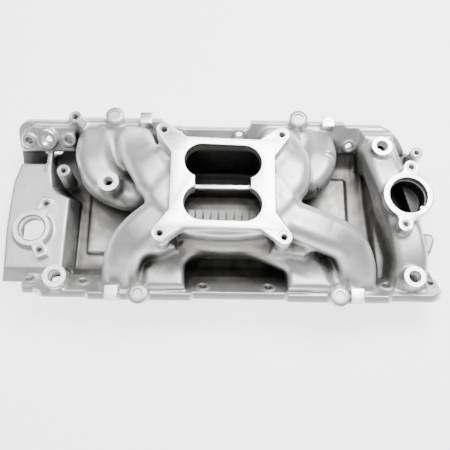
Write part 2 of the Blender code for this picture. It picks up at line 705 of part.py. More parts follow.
def port_bosses():
    neighbours = {
        "coolant_port_boss_rear_right": lambda: [flange_keep_out(RIGHT)],
        "coolant_port_boss_front_left": lambda: [crossover_body(), flange_keep_out(LEFT)],
        "coolant_port_boss_front_right": lambda: [crossover_body(), flange_keep_out(RIGHT)],
        "vacuum_port_boss": lambda: [runner_body(7)],
    }
    for name, values in PORT_BOSSES.items():
        finish(turned_boss(name, *values, neighbours[name]()), "machined_aluminium")


def posts():
    neighbours = {
        "bracket_post_left": lambda: [flange_keep_out(LEFT), coolant_block_body(GAP), runner_body(7, 12)],
        "bracket_post_rear": lambda: [],
        "bracket_post_front": lambda: [flange_keep_out(LEFT)],
    }
    for name, values in POSTS.items():
        finish(turned_boss(name, *values, neighbours[name](), INSERT_LENGTH + 6), "cast_aluminium")


def pair_bosses():
    """Round bosses on the flange's top edge, midway between the two ports of a pair."""
    for name, (bank, end, runners) in PAIRS.items():
        x, y = pair_u(bank, end), bank * BOLT_BOSS_Y
        made = cylinder(f"round_boss_{name}", x, y, BOLT_BOSS_R, BOSS_FOOT, BOLT_BOSS_TOP)
        cut(made, cylinder("dish", x, y, DISH_R, BOLT_BOSS_TOP - DISH_DEPTH, BOLT_BOSS_TOP + 20))
        cut(made, flange_keep_out(bank), head_keep_out(bank))
        cut(made, *(runner_body(number, 12) for number in runners))
        finish(made, "cast_aluminium")


def lugs():
    """Square lugs beside the round bosses."""
    half = LUG_SIZE / 2
    for name, (bank, u) in LUGS.items():
        y0, y1 = sorted((bank * (LUG_Y - half), bank * (LUG_Y + half)))
        made = box(f"square_lug_{name}", (u - half, y0, BOSS_FOOT), (u + half, y1, LUG_TOP))
        cut(made, flange_keep_out(bank), head_keep_out(bank))
        cut(made, *(runner_body(number, 12) for number in PAIRS[name][2]))
        finish(made, "machined_aluminium")


def insert(name, x, y, top):
    """A steel bush with a tapped hole, standing a little below its face."""
    made = upright_ring(name, x, y, (INSERT_R, INSERT_BORE), top - INSERT_LENGTH, top, 14)
    finish(made, "steel_insert")


def thread_inserts():
    for name, (bank, end, _) in PAIRS.items():
        x, y = end * PAD_BOLT_X, bank * PAD_BOLT_Y
        insert(f"stud_insert_{name}", x, y, pad_top(x, -STUD_INSERT_DEPTH))
    for name, side in (("left", 1), ("right", -1)):
        spot = THERMOSTAT + THERMOSTAT_AXIS * side * THERMOSTAT_BOLT
        insert(f"thermostat_insert_{name}", spot.x, spot.y, THERMOSTAT.z - INSERT_DEPTH)
    for name, (x, y) in CLAMP_TABS.items():
        insert(f"clamp_insert_{name}", x, y, TAB_TOP - INSERT_DEPTH)
    for name, ((x, y), top, *_) in POSTS.items():
        insert(name.replace("bracket_post", "bracket_insert"), x, y, top - INSERT_DEPTH)


def build():
    for existing in list(bpy.data.objects):
        bpy.data.objects.remove(existing)
    make_materials()
    head_flange(LEFT)
    head_flange(RIGHT)
    for number in RUNNERS:
        runner(number)
    carburettor_pad()
    stud_legs()
    upper_plenum()
    lower_plenum()
    rear_rail()
    front_rail()
    valley_tray()
    distributor_ring()
    for name, (x, y) in CLAMP_TABS.items():
        clamp_tab(name, x, y)
    rear_coolant_block()
    crossover()
    thermostat_housing()
    port_bosses()
    posts()
    pair_bosses()
    lugs()
    thread_inserts()


build()
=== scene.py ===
"""The looks of the V8 intake manifold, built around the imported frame.

The casting is one signed distance field in millimetres: every section is a shape that blends into its
neighbours with cast fillets, the ducts and bores are cut out, and the surface is meshed section by section
so that neighbours share their border. Machined pads, rings and thread inserts are separate crisp meshes.
"""

import math

import bmesh
import bpy
import numpy as np
from mathutils import Matrix, Vector


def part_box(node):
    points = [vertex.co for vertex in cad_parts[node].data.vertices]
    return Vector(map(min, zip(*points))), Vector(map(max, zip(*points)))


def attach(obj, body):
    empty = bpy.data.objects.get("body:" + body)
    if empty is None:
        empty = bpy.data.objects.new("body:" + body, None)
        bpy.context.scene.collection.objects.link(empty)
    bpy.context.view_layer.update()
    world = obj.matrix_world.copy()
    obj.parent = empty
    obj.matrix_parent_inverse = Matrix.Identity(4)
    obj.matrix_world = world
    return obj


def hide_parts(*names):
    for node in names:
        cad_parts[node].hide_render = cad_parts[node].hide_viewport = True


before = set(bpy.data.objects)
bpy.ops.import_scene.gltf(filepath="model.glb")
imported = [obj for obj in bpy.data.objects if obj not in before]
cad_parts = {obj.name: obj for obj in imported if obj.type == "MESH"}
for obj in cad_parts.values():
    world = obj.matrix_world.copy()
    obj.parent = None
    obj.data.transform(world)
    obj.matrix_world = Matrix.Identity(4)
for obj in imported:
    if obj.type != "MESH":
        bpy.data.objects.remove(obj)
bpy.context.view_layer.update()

MM = 0.001
STEP = 1.5  # grid spacing of the casting's surface
FAR = 40.0
CORNERS = [(i, j, k) for i in (0, 1) for j in (0, 1) for k in (0, 1)]  # of a grid cell
WALL = 5.0
SHARP = math.radians(35)

# Head flanges: plates at 45 degrees, u along the engine, v up the slope, n inwards from the head.
SLOPE = math.sqrt(0.5)
FOOT_Y = 64.0
FLANGE_THICKNESS = 11.0
FLANGE_TOP_V, FLANGE_END_V = 88.0, 84.0
FLANGE_LONG_END, FLANGE_SHORT_END = 278.0, 250.0
FLANGE_STEP_V = 45.0  # below this the flange is thinner
BOLT_R = 4.8
BOSS_Y, LUG_Y = 121.0, (110.5, 126.5)  # round bosses and square lugs on the flanges' top edges
LEFT, RIGHT = 1, -1  # banks, as the sign of Y
FLANGE_MID_V = {LEFT: 78.0, RIGHT: 84.0}

# Ports and runners.
BORE_SPACING, BANK_SHIFT, PORT_OFFSET = 122.95, 22.0, 26.0
PORT_V, PORT_SIZE = 50.0, (40.0, 52.0)
UPPER_Z, LOWER_Z = 112.8, 72.0
LEVEL_SHARE = 0.4

# Carburettor pad.
PAD_BOLT_X, PAD_BOLT_Y = 71.45, 65.5
PAD_TOP, PAD_UNDERSIDE = 144.0, 132.0
PAD_TILT = math.radians(3.5)
PAD_SIDE_X, PAD_SIDE_Y = 62.0, 57.0
EAR_R = 9.5
BARREL_HALF_LENGTH, BARREL_R, BARREL_Y = 46.0, 21.5, 26.5
DIVIDER_HALF, DIVIDER_TOP = 33.0, 128.0

RUNNER_END = (46, 60)
RUNNER_7_MIDS = [(-86, 13, 70), (-124, 12, 70), (-156, 30, 71), (-170, 60, 64)]
RUNNER_2_MIDS = [(112, -46, 111), (149, -58, 94), (167, -76, 68)]
# Bank, port place, start, heading, outer size at the start, points between the start and the port.
RUNNERS = {
    1: (LEFT, 1, (44, 24, LOWER_Z), (1, 0), (42, 38), [(84, 26, 71), (113, 35, 71), (127, 59, 66)]),
    3: (LEFT, 2, (66, -5, UPPER_Z), (0.747, 0.664), (46, 36), [(86, 32, 112), (77, 68, 90)]),
    5: (LEFT, 3, (-66, -5, UPPER_Z), (-0.747, 0.664), (46, 36), [(-94, 31, 112), (-110, 66, 90)]),
    7: (LEFT, 4, (-44, 24, LOWER_Z), (-1, 0), (42, 36), RUNNER_7_MIDS),
    2: (RIGHT, 1, (62, -23, UPPER_Z), (0.743, -0.669), (46, 36), RUNNER_2_MIDS),
    4: (RIGHT, 2, (28, -45, LOWER_Z), (0.806, -0.591), (36, 36), [(72, -65, 72), (106, -76, 60)]),
    6: (RIGHT, 3, (-28, -45, LOWER_Z), (-0.806, -0.591), (36, 36), [(-60, -69, 67)]),
    8: (RIGHT, 4, (-62, -23, UPPER_Z), (-0.743, -0.669), (46, 36), [(-101, -54, 106), (-119, -74, 80)]),
}
CROSSOVER_V = 48.0
CROSSOVER_ENDS = {LEFT: 208.0, RIGHT: 238.0}
CROSSOVER_MIDS = [(210, 60, 61), (226, 0, 64), (239, -62, 60)]
REAR_OUTLET = (-234.0, 66.0)
THERMOSTAT_AXIS = Vector((0.172, 0.985, 0.0))
THERMOSTAT_BOLT = 38.85

# Holes in the flanges, as (u, v) and u.
BOLTS = {
    RIGHT: [(-242, 59), (-174, 62), (-23, 71), (59, 71), (209, 63), (266, 56)],
    LEFT: [(-260, 62), (-207, 63), (-59, 70), (22, 70), (173, 56)],
}
COOLANT_PORTS = {RIGHT: (-205.0, CROSSOVER_ENDS[RIGHT]), LEFT: (REAR_OUTLET[0], CROSSOVER_ENDS[LEFT])}

# Name, side in x, side in y, foot height.
STUD_LEGS = (
    ("stud_leg_left_front", 1, 1, 104),
    ("stud_leg_left_rear", -1, 1, 104),
    ("stud_leg_right_front", 1, -1, 84),
    ("stud_leg_right_rear", -1, -1, 84),
)

# Bore radius and the height of the bore's foot.
PIPE_BOSSES = {
    "coolant_port_boss_rear_right": (8, 40),
    "coolant_port_boss_front_left": (7.5, 60),
    "coolant_port_boss_front_right": (7.5, 45),
    "vacuum_port_boss": (6, 75),
}
POSTS = ("bracket_post_left", "bracket_post_rear", "bracket_post_front")


# --- Distances, in millimetres: negative inside ---


def rounded(side, cap, radius):
    """Two distances made into one body whose edge between them is rounded."""
    a, b = side + radius, cap + radius
    return np.minimum(np.maximum(a, b), 0) + np.hypot(np.maximum(a, 0), np.maximum(b, 0)) - radius


def rectangle(a, b, half_a, half_b, radius):
    return rounded(np.abs(a) - half_a, np.abs(b) - half_b, radius)


def polygon(a, b, points):
    """Distance to the polygon's outline in the plane of a and b; a point's numbers may be arrays."""
    full = np.broadcast_shapes(np.shape(a), np.shape(b), np.shape(points[0][0]))
    nearest = np.full(full, FAR**2, np.float32)
    inside = np.zeros(full, bool)
    for (ax, ay), (bx, by) in zip(points, points[1:] + points[:1]):
        ex, ey = bx - ax, by - ay
        wx, wy = a - ax, b - ay
        t = np.clip((wx * ex + wy * ey) / (ex * ex + ey * ey + 1e-9), 0, 1)
        nearest = np.minimum(nearest, (wx - ex * t) ** 2 + (wy - ey * t) ** 2)
        inside ^= ((wy >= 0) != (b >= by)) & (ex * wy / np.where(np.abs(ey) < 1e-9, 1e-9, ey) > wx)
    return np.where(inside, -1, 1) * np.sqrt(nearest)


def prism(points, low, high, radius=1.5):
    """A plan outline between two heights."""
    xs, ys = [p[0] for p in points], [p[1] for p in points]
    bounds = (min(xs), min(ys), low), (max(xs), max(ys), high)
    return lambda x, y, z: rounded(polygon(x, y, points), np.maximum(low - z, z - high), radius), bounds


def loft(lower, upper, low, high, radius=1.5):
    """A body whose plan outline changes evenly from one height to another."""
    xs, ys = [p[0] for p in lower + upper], [p[1] for p in lower + upper]

    def shape(x, y, z):
        share = np.clip((z - low) / (high - low), 0, 1)
        outline = [(a + (c - a) * share, b + (d - b) * share) for (a, b), (c, d) in zip(lower, upper)]
        return rounded(polygon(x, y, outline), np.maximum(low - z, z - high), radius)

    return shape, ((min(xs), min(ys), low), (max(xs), max(ys), high))


def block(low, high, radius=2.0):
    middle = [(a + b) / 2 for a, b in zip(low, high)]
    half = [(b - a) / 2 for a, b in zip(low, high)]

    def shape(x, y, z):
        side = rectangle(x - middle[0], y - middle[1], half[0], half[1], radius)
        return rounded(side, np.abs(z - middle[2]) - half[2], min(radius, half[2]))

    return shape, (low, high)


def post(x0, y0, radius, low, high, edge=1.2, flare=0.0):
    """An upright round boss, wider by flare at its foot."""

    def shape(x, y, z):
        grown = radius + flare * np.clip((high - z) / (high - low), 0, 1)
        return rounded(np.hypot(x - x0, y - y0) - grown, np.maximum(low - z, z - high), edge)

    reach = radius + flare
    return shape, ((x0 - reach, y0 - reach, low), (x0 + reach, y0 + reach, high))


def on_flange(bank, u, v, n):
    return Vector((u, bank * (FOOT_Y + (v - n) * SLOPE), (v + n) * SLOPE))


def off_flange(bank, y, z):
    return (z + bank * y - FOOT_Y) * SLOPE, (z - bank * y + FOOT_Y) * SLOPE


def flange_box(bank, u, v, n):
    spans = list(zip(*[on_flange(bank, a, b, c) for a in u for b in v for c in n]))
    return tuple(map(min, spans)), tuple(map(max, spans))


def slab(bank, points, low, high, radius=1.5):
    """An outline of (u, v) points between two depths n of a flange."""

    def shape(x, y, z):
        v, n = off_flange(bank, y, z)
        return rounded(polygon(x, v, points), np.maximum(low - n, n - high), radius)

    us, vs = [p[0] for p in points], [p[1] for p in points]
    return shape, flange_box(bank, (min(us), max(us)), (min(vs), max(vs)), (low, high))


def stub(bank, u0, v0, radius, low, high, edge=1.0, power=2.0):
    """A round or rounded-square boss square to a flange."""

    def shape(x, y, z):
        v, n = off_flange(bank, y, z)
        across = (np.abs(x - u0) ** power + np.abs(v - v0) ** power) ** (1 / power) - radius
        return rounded(across, np.maximum(low - n, n - high), edge)

    return shape, flange_box(bank, (u0 - radius, u0 + radius), (v0 - radius, v0 + radius), (low, high))


# --- Swept ducts ---


class Sweep:
    """A smooth path with a rounded rectangular section that changes along it."""

    def __init__(self, points, start, end, ups, sizes, radii, level=0.0):
        points = [Vector(p) for p in points]
        steps = 24
        tangents = [start * (points[1] - points[0]).length]
        tangents += [(points[i + 1] - points[i - 1]) / 2 for i in range(1, len(points) - 1)]
        tangents.append(end * (points[-1] - points[-2]).length)
        places = []
        for i in range(len(points) - 1):
            a, b, m, n = points[i], points[i + 1], tangents[i], tangents[i + 1]
            for k in range(steps + (i == len(points) - 2)):
                t = k / steps
                place = a * (2 * t**3 - 3 * t**2 + 1) + m * (t**3 - 2 * t**2 + t)
                places.append(place + b * (3 * t**2 - 2 * t**3) + n * (t**3 - t**2))
        rough = np.array(places)
        along = np.r_[0, np.cumsum(np.linalg.norm(np.diff(rough, axis=0), axis=1))]
        self.length = along[-1]
        self.count = int(self.length) + 2
        self.at = np.linspace(0, self.length, self.count)
        self.centre = np.stack([np.interp(self.at, along, rough[:, i]) for i in range(3)], 1)
        self.tangent = np.gradient(self.centre, axis=0)
        self.tangent[0], self.tangent[-1] = start, end
        self.tangent /= np.linalg.norm(self.tangent, axis=1)[:, None]
        t = np.linspace(0, 1, self.count)
        share = np.clip((t - level) / (1 - level), 0, 1)[:, None]
        up = np.array(ups[0]) * (1 - share) + np.array(ups[1]) * share
        self.across = np.cross(self.tangent, up)
        self.across /= np.linalg.norm(self.across, axis=1)[:, None]
        self.up = np.cross(self.across, self.tangent)
        self.half = (np.array(sizes[0]) * (1 - share) + np.array(sizes[1]) * share) / 2
        self.radius = (radii[0] * (1 - share) + radii[1] * share)[:, 0]

    def local(self, x, y, z):
        """Across, up, beyond-the-end and place along the path of every point."""
        x, y, z = np.broadcast_arrays(x, y, z)
        points = np.stack([x.ravel(), y.ravel(), z.ravel()], 1).astype(np.float32)
        best = np.full(len(points), 1e9, np.float32)
        place = np.zeros(len(points), np.float32)
        stride = 7
        marks = list(range(0, self.count - 1, stride)) + [self.count - 1]
        for i, j in zip(marks, marks[1:]):
            a, e = self.centre[i].astype(np.float32), (self.centre[j] - self.centre[i]).astype(np.float32)
            w = points - a
            t = np.clip(w @ e / (e @ e), 0, 1)
            d = ((w - t[:, None] * e) ** 2).sum(1)
            closer = d < best
            best[closer] = d[closer]
            place[closer] = (i + t * (j - i))[closer]
        columns = [self.centre, self.tangent, self.across, self.up, self.half, self.radius[:, None]]
        tables = np.concatenate(columns, 1).astype(np.float32)
        unit = np.float32(self.length / (self.count - 1))
        for _ in range(3):
            row = self.row(tables[:, :6], place)
            step = ((points - row[:, :3]) * row[:, 3:6]).sum(1) / unit
            place = np.clip(place + 0.8 * step, 0, self.count - 1)
        row = self.row(tables, place)
        w = points - row[:, :3]
        a, b, e = (w * row[:, 6:9]).sum(1), (w * row[:, 9:12]).sum(1), np.abs((w * row[:, 3:6]).sum(1))
        return a, b, e, row[:, 12], row[:, 13], row[:, 14], x.shape

    @staticmethod
    def row(table, place):
        low = np.minimum(place.astype(np.int32), len(table) - 2)
        part = (place - low)[:, None]
        return table[low] * (1 - part) + table[low + 1] * part

    def shape(self, grow=0.0):
        def distance(x, y, z):
            a, b, e, half_a, half_b, radius, shape = self.local(x, y, z)
            side = rectangle(a, b, half_a + grow, half_b + grow, np.maximum(radius + grow, 1))
            return np.where(e < 0.1, side, np.hypot(np.maximum(side, 0), e)).reshape(shape)

        reach = float(self.half.max()) + grow
        return distance, (tuple(self.centre.min(0) - reach), tuple(self.centre.max(0) + reach))


def port_u(bank, place):
    pair = BORE_SPACING if place <= 2 else -BORE_SPACING
    return -bank * BANK_SHIFT + pair + (PORT_OFFSET if place in (1, 3) else -PORT_OFFSET)


def runner_sweep(number, inner):
    bank, place, start, heading, first, mids = RUNNERS[number]
    begin = Vector((*heading, 0)).normalized()
    outwards = Vector((0, bank * SLOPE, -SLOPE))
    depth = -4 if inner else 4
    foot = on_flange(bank, port_u(bank, place), PORT_V, depth)
    ups = ((0, 0, 1), (0, bank * SLOPE, SLOPE))
    sizes = ((first[0] - 2 * WALL, first[1] - 2 * WALL), PORT_SIZE) if inner else (first, RUNNER_END)
    points = [Vector(start), *mids, on_flange(bank, port_u(bank, place), PORT_V, FLANGE_THICKNESS), foot]
    radii = (10, 8) if inner else (15, 14)
    return Sweep(points, begin, outwards, ups, sizes, radii, LEVEL_SHARE)


def crossover_sweep(size, radius):
    points = [on_flange(LEFT, CROSSOVER_ENDS[LEFT], CROSSOVER_V, 4)]
    points += CROSSOVER_MIDS
    points += [on_flange(RIGHT, CROSSOVER_ENDS[RIGHT], CROSSOVER_V, 4)]
    start, end = Vector((0, -SLOPE, SLOPE)), Vector((0, -SLOPE, -SLOPE))
    ups = ((0, SLOPE, SLOPE), (0, -SLOPE, SLOPE))
    return Sweep(points, start, end, ups, (size, size), (radius, radius))


# --- The casting's field ---


class Casting:
    """Distances on a grid, and for each place the number of the section that is nearest."""

    def __init__(self, low, high):
        self.axes = [np.arange(a, b + STEP, STEP, dtype=np.float32) for a, b in zip(low, high)]
        shape = [len(a) for a in self.axes]
        self.distance = np.full(shape, FAR, np.float32)
        self.nearest = np.full(shape, FAR, np.float32)
        self.owner = np.zeros(shape, np.uint8)
        self.names = []

    def window(self, bounds, margin):
        spans = []
        for axis, low, high in zip(self.axes, *bounds):
            a = int(np.searchsorted(axis, low - margin))
            b = int(np.searchsorted(axis, high + margin))
            spans.append(slice(max(a, 0), max(b, 0)))
        grid = np.meshgrid(*[axis[s] for axis, s in zip(self.axes, spans)], indexing="ij", sparse=True)
        return tuple(spans), grid

    def add(self, name, made, blend=6.0):
        """Joins a shape to the casting, with a fillet of about the blend's size, as part of a section."""
        shape, bounds = made
        spans, grid = self.window(bounds, blend + 3 * STEP)
        if name not in self.names:
            self.names.append(name)
        distance = shape(*grid).astype(np.float32)
        old = self.distance[spans]
        near = np.maximum(blend - np.abs(old - distance), 0) / blend
        self.distance[spans] = np.minimum(old, distance) - near * near * blend / 4
        closer = distance < self.nearest[spans]
        self.nearest[spans] = np.where(closer, distance, self.nearest[spans])
        self.owner[spans] = np.where(closer, self.names.index(name), self.owner[spans])

    def cut(self, made, blend=1.0):
        shape, bounds = made
        spans, grid = self.window(bounds, blend + 3 * STEP)
        distance = -shape(*grid).astype(np.float32)
        old = self.distance[spans]
        near = np.maximum(blend - np.abs(old - distance), 0) / blend
        self.distance[spans] = np.maximum(old, distance) + near * near * blend / 4

    def sample(self, points):
        """The field at points, by trilinear interpolation."""
        origin = np.array([a[0] for a in self.axes], np.float32)
        places = (points - origin) / STEP
        low = np.clip(places.astype(np.int32), 0, np.array(self.distance.shape) - 2)
        a, b, c = (places - low).T
        total = np.zeros(len(points), np.float32)
        for i, j, k in CORNERS:
            weight = np.abs(1 - i - a) * np.abs(1 - j - b) * np.abs(1 - k - c)
            total += weight * self.distance[low[:, 0] + i, low[:, 1] + j, low[:, 2] + k]
        return total

    def near(self, points):
        """The field at the grid's nearest points, and open air outside the grid."""
        origin = np.array([a[0] for a in self.axes], np.float32)
        index = ((points - origin) / STEP + 0.5).astype(np.int32)
        size = np.array(self.distance.shape)
        known = ((index >= 0) & (index < size)).all(1)
        index = np.clip(index, 0, size - 1)
        return np.where(known, self.distance[index[:, 0], index[:, 1], index[:, 2]], FAR)

    def painted_light_share(self, points, normals):
        """The share of the light from above that reaches each point, more of it from the far left.

        Low places, the plenum and the thermostat's bore count as darker, and undersides as half lit.
        The share is painted into the cast material's colour as shade, on top of the renderer's own light.
        """
        total, weights = np.zeros(len(points), np.float32), 0.0
        for tilt, count in ((20, 4), (42, 8), (62, 8)):
            for i in range(count):
                turn = 2 * math.pi * (i + 0.5) / count
                level, rise = math.sin(math.radians(tilt)), math.cos(math.radians(tilt))
                way = np.array((level * math.cos(turn), level * math.sin(turn), rise), np.float32)
                # Painted light comes more from behind and from the rear.
                weight = 1.0 + 0.5 * way[1] - 0.4 * way[0]
                clear = np.ones(len(points), np.float32)
                for reach in (4, 8, 13, 19, 27, 37, 49, 64, 82):
                    gap = self.near(points + normals * 3.5 + way * reach)
                    clear = np.minimum(clear, np.clip(gap / (0.1 * reach + 1.5) + 0.4, 0, 1))
                total += clear * weight
                weights += weight
        x, y, z = points.T
        # Painted shade: places lower than 55 mm are painted darker, down to 0.6 at 15 mm.
        low_place_shade = 0.6 + 0.4 * np.clip((z - 15) / 40, 0, 1)
        # Painted shade deep in the plenum and in the thermostat's bore.
        plenum = (np.abs(x) < 47) & (np.abs(y) < 49) & (z > 50) & (z < 125)
        outlet = (np.hypot(x - 232.5, y - 4) < 24) & (z < 92)
        reached = total / weights * low_place_shade * np.where(plenum, 0.6, 1) * np.where(outlet, 0.2, 1)
        # Undersides keep up to 0.62 of the light, so that the painted shade leaves them half lit.
        return np.maximum(reached, 0.62 * np.clip(-2 * normals[:, 2] - 0.2, 0, 1) * ~plenum)

    def gradient(self, points, reach):
        out = np.zeros_like(points)
        for i in range(3):
            offset = np.zeros(3, np.float32)
            offset[i] = reach
            out[:, i] = self.sample(points + offset) - self.sample(points - offset)
        return out / np.maximum(np.linalg.norm(out, axis=1), 1e-6)[:, None]

    def surface(self):
        """Closed faces of every section: {name: (points, quads, normals, painted light share)}."""
        inside = self.distance < 0
        solid = np.where(inside, self.owner + 1, 0).astype(np.uint8)
        shape = np.array(solid.shape)
        stride = np.array([shape[1] * shape[2], shape[2], 1])
        quads, sides = [], []
        for axis in range(3):
            b, c = (axis + 1) % 3, (axis + 2) % 3
            low = [slice(1, -1)] * 3
            high = [slice(1, -1)] * 3
            low[axis], high[axis] = slice(0, -1), slice(1, None)
            first, second = solid[tuple(low)], solid[tuple(high)]
            found = np.argwhere(first != second)
            where = found + np.array([0 if i == axis else 1 for i in range(3)])
            index = where @ stride
            corners = [index - stride[b] - stride[c], index - stride[c], index, index - stride[b]]
            quads.append(np.stack(corners, 1))
            pick = tuple(found.T)
            sides.append(np.stack([first[pick], second[pick]], 1))
        quads, sides = np.concatenate(quads), np.concatenate(sides)
        cells, renumbered = np.unique(quads, return_inverse=True)
        quads = renumbered.reshape(-1, 4)
        base = np.stack(np.unravel_index(cells, shape), 1)
        origin = np.array([a[0] for a in self.axes])
        corner = {}
        for i, j, k in CORNERS:
            corner[i, j, k] = self.distance[base[:, 0] + i, base[:, 1] + j, base[:, 2] + k]
        total, count = np.zeros((len(cells), 3)), np.zeros(len(cells))
        for p in corner:
            for axis in range(3):
                if p[axis] == 0:
                    q = tuple(1 if i == axis else p[i] for i in range(3))
                    a, b = corner[p], corner[q]
                    crossing = (a < 0) != (b < 0)
                    t = np.where(crossing, a / np.where(crossing, a - b, 1), 0)
                    place = np.array(p, float) + np.zeros((len(cells), 1))
                    place[:, axis] = t
                    total += place * crossing[:, None]
                    count += crossing
        on_surface = count > 0
        middle = np.where(on_surface[:, None], total / np.maximum(count, 1)[:, None], 0.5)
        points = (origin + (base + middle) * STEP).astype(np.float32)
        normals = np.zeros_like(points)
        skin = points[on_surface]
        for _ in range(2):
            slope = self.gradient(skin, 0.6 * STEP)
            skin = skin - np.clip(self.sample(skin), -0.6, 0.6)[:, None] * slope
        points[on_surface] = skin
        normals[on_surface] = self.gradient(skin, 0.7 * STEP)
        normals[~on_surface] = (0, 0, 1)
        # The share of light at each point, painted as shade into the cast colour.
        light_share_to_paint = np.zeros(len(points), np.float32)
        light_share_to_paint[on_surface] = self.painted_light_share(skin, normals[on_surface])
        made = {}
        for number, name in enumerate(self.names, 1):
            front, back = sides[:, 0] == number, sides[:, 1] == number
            mine = np.concatenate([quads[front], quads[back][:, ::-1]])
            used, local = np.unique(mine, return_inverse=True)
            made[name] = (points[used], local.reshape(-1, 4), normals[used], light_share_to_paint[used])
        return made


def arc(x, y, radius, start, end, steps):
    angles = [math.radians(start + (end - start) * i / steps) for i in range(steps + 1)]
    return [(x + radius * math.cos(a), y + radius * math.sin(a)) for a in angles]


def stadium(y, half_length, radius, steps=10):
    reach = half_length - radius
    return arc(reach, y, radius, -90, 90, steps) + arc(-reach, y, radius, 90, 270, steps)


def flange_outline(bank):
    """The identical heads make one flange the other turned half round."""
    pair_reach, step, corner_r = 62.0, 5.0, 18.0
    end, top = FLANGE_END_V, FLANGE_TOP_V
    middle = FLANGE_MID_V[bank]
    outline = [(-FLANGE_SHORT_END, -6.0), (FLANGE_LONG_END, -6.0)]
    outline += arc(FLANGE_LONG_END - corner_r, end - corner_r, corner_r, 0, 90, 8)
    front, rear = BANK_SHIFT + BORE_SPACING, BANK_SHIFT - BORE_SPACING
    for at, before, after in ((front, end, middle), (rear, middle, end)):
        outline += [(at + pair_reach + step, before), (at + pair_reach, top)]
        outline += [(at - pair_reach, top), (at - pair_reach - step, after)]
    if bank == RIGHT:
        outline += [(-221.0, end), (-234.0, 75.0), (3 - FLANGE_SHORT_END, 75.0), (-FLANGE_SHORT_END, 71.0)]
    else:
        outline += [(-216.0, end), (-226.0, 79.0), (-240.0, 67.0), (-FLANGE_SHORT_END, 52.0)]
    return [(-bank * u, v) for u, v in outline]


def mirrored(points):
    return points + [(-x, y) for x, y in reversed(points)]


def add_flanges(casting):
    for bank, side in ((LEFT, "left"), (RIGHT, "right")):
        name = f"head_flange_{side}"
        outline = flange_outline(bank)
        casting.add(name, slab(bank, outline, 0, FLANGE_THICKNESS - 4, 1.2), 2)
        upper = [(u, max(v, FLANGE_STEP_V)) for u, v in outline]
        casting.add(name, slab(bank, upper, 0, FLANGE_THICKNESS, 1.4), 2)
        for u, v in BOLTS[bank]:
            casting.add(name, stub(bank, u, v, 9.0, 2, FLANGE_THICKNESS + 1.4, 0.8), 2)


def add_plenum(casting):
    add = casting.add
    add("plenum_upper", prism(mirrored([(54, -50), (88, -14), (62, 22), (50, 22), (50, 2)]), 94, 134, 7), 8)
    add("plenum_lower", prism(mirrored([(50, 2), (50, 54)]), 52, 134, 6), 8)
    near_wall = [(-52, -20), (-52, -54)] + arc(2, 212, 274, 258.8, 281.2, 8) + [(52, -54), (52, -20)]
    add("plenum_upper", prism(near_wall, 90, 130, 6), 6)
    bulge = [(-46, 10), (-46, -40)] + arc(5, 213, 283, 258.6, 281.4, 10) + [(58, -44), (46, 10)]
    add("plenum_lower", prism(bulge, 54, 100, 13), 10)
    pad = [(x * 0.985, y * 0.985) for x, y in pad_outline()]
    add("plenum_upper", prism(pad, 128, 136, 1), 5)


def add_runners(casting):
    add = casting.add
    for number in RUNNERS:
        add(f"runner_{number}", runner_sweep(number, False).shape(), 9)
    # Shoulders that carry the far upper runners into the pad's sides.
    for sx, number in ((1, 3), (-1, 5)):
        root = [(58, -2), (58, 54), (82, 56), (101, 34), (102, 2), (84, -16)]
        add(f"runner_{number}", prism([(sx * x, y) for x, y in root], 98, 128, 13), 12)
    # Webs between the runners of a pair.
    add("runner_3", prism([(72, 24), (106, 30), (114, 106), (86, 106)], 30, 76, 8), 10)
    add("runner_7", prism([(-120, 26), (-98, 44), (-122, 106), (-162, 106), (-158, 44)], 30, 74, 8), 10)
    add("runner_6", prism([(-95, -112), (-95, -88), (-84, -77), (-47, -79), (-45, -112)], 44, 77, 7), 6)
    shoulder = [(83, -112), (80, -73), (101, -70), (124, -84), (137, -106), (137, -112)]
    add("runner_4", prism(shoulder, 44, 79, 7), 6)
    add("runner_6", prism([(-122, -66), (-72, -48), (-58, -70), (-74, -108), (-120, -108)], 28, 70, 8), 12)
    add("runner_4", prism([(66, -50), (132, -64), (164, -108), (116, -108), (88, -76)], 28, 70, 8), 12)
    # Webs that tie the near stud legs to the upper runners beside them.
    add("runner_8", prism([(-106, -52), (-58, -36), (-56, -70), (-78, -77), (-104, -74)], 66, 112, 9), 10)
    add("runner_2", prism([(60, -36), (96, -44), (118, -62), (100, -76), (60, -72)], 62, 106, 9), 10)
    for name, sx, sy, low in STUD_LEGS:
        add(name, post(sx * PAD_BOLT_X, sy * PAD_BOLT_Y, EAR_R - 0.6, low, 134, 3, 0.5), 5)


def add_valley(casting):
    add = casting.add
    floor = [(-205, -75), (212, -75), (212, 100), (-236, 100), (-236, 30), (-205, 10)]
    add("valley_tray", prism(floor, 15, 21, 1), 6)
    add("valley_tray", block((-178, -56, 16), (170, 56, 27), 4), 4)
    left = [(-280, -33), (-279.5, 0), (-278, 35), (-271, 62)]
    top = [(-204, -83.5), (-203, 13), (-216, 19), (-226, 27), (-232, 62), *left[::-1], (-277, -83.5)]
    foot = [(-193, -107), (-192, 14), (-206, 24), (-220, 40), (-228, 66)]
    foot += [(-272, 66), (-281, 36), (-283, 0), (-283, -33), (-283, -107)]
    add("end_rail_rear", loft(foot, top, 28, 49, 2.5), 6)
    add("end_rail_rear", prism(foot, 3, 30, 3), 3)
    add("end_rail_rear", block((-237, 50, 18), (-230.5, 86, 49), 2), 4)
    front = [(204, -97), (258, -97), (264, -88), (264, 60), (270, 72), (268, 90)]
    front += [(250, 98), (196, 98), (198, 20)]
    add("end_rail_front", prism(front, 3, 34, 4), 8)
    add("end_rail_front", prism([(255, -60), (272, -56), (279, -38), (276, -29), (255, -28)], 22, 50, 4), 4)


